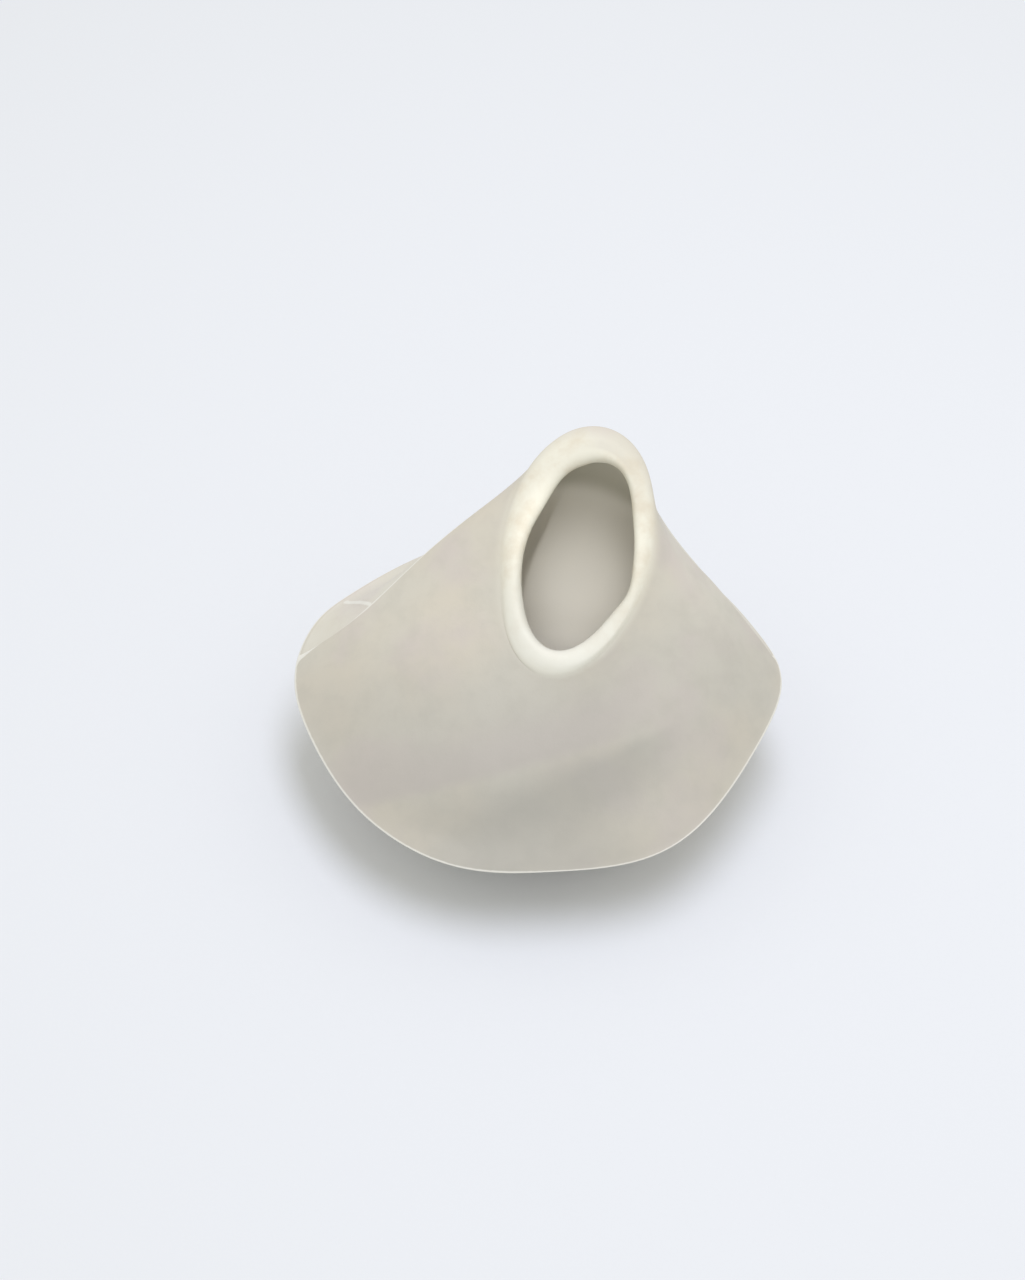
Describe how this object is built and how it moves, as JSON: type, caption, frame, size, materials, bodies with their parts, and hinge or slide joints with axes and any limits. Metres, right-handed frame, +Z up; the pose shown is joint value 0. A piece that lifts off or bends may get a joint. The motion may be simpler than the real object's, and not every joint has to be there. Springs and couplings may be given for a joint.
{
  "type": "pillow vase",
  "caption": "Low hand-built ceramic pillow vase: slab body with an overhanging edge and one tilted oval mouth with a rolled, glazed lip.",
  "frame": {"origin": "centre of the flat underside of the base slab, which the vase stands on", "axes": "+Z up; the mouth opens forward along -Y and up; +X to the right seen from the front"},
  "size_m": [0.161, 0.1287, 0.1111],
  "materials": {
    "body_clay": "matte warm grey stoneware",
    "lip_glaze": "soft satin cream glaze"
  },
  "bodies": {
    "root": {"base_slab": "body_clay", "back_slab": "body_clay", "front_slab": "body_clay", "neck_collar": "body_clay", "lip_roll": "lip_glaze"}
  },
  "joints": []
}
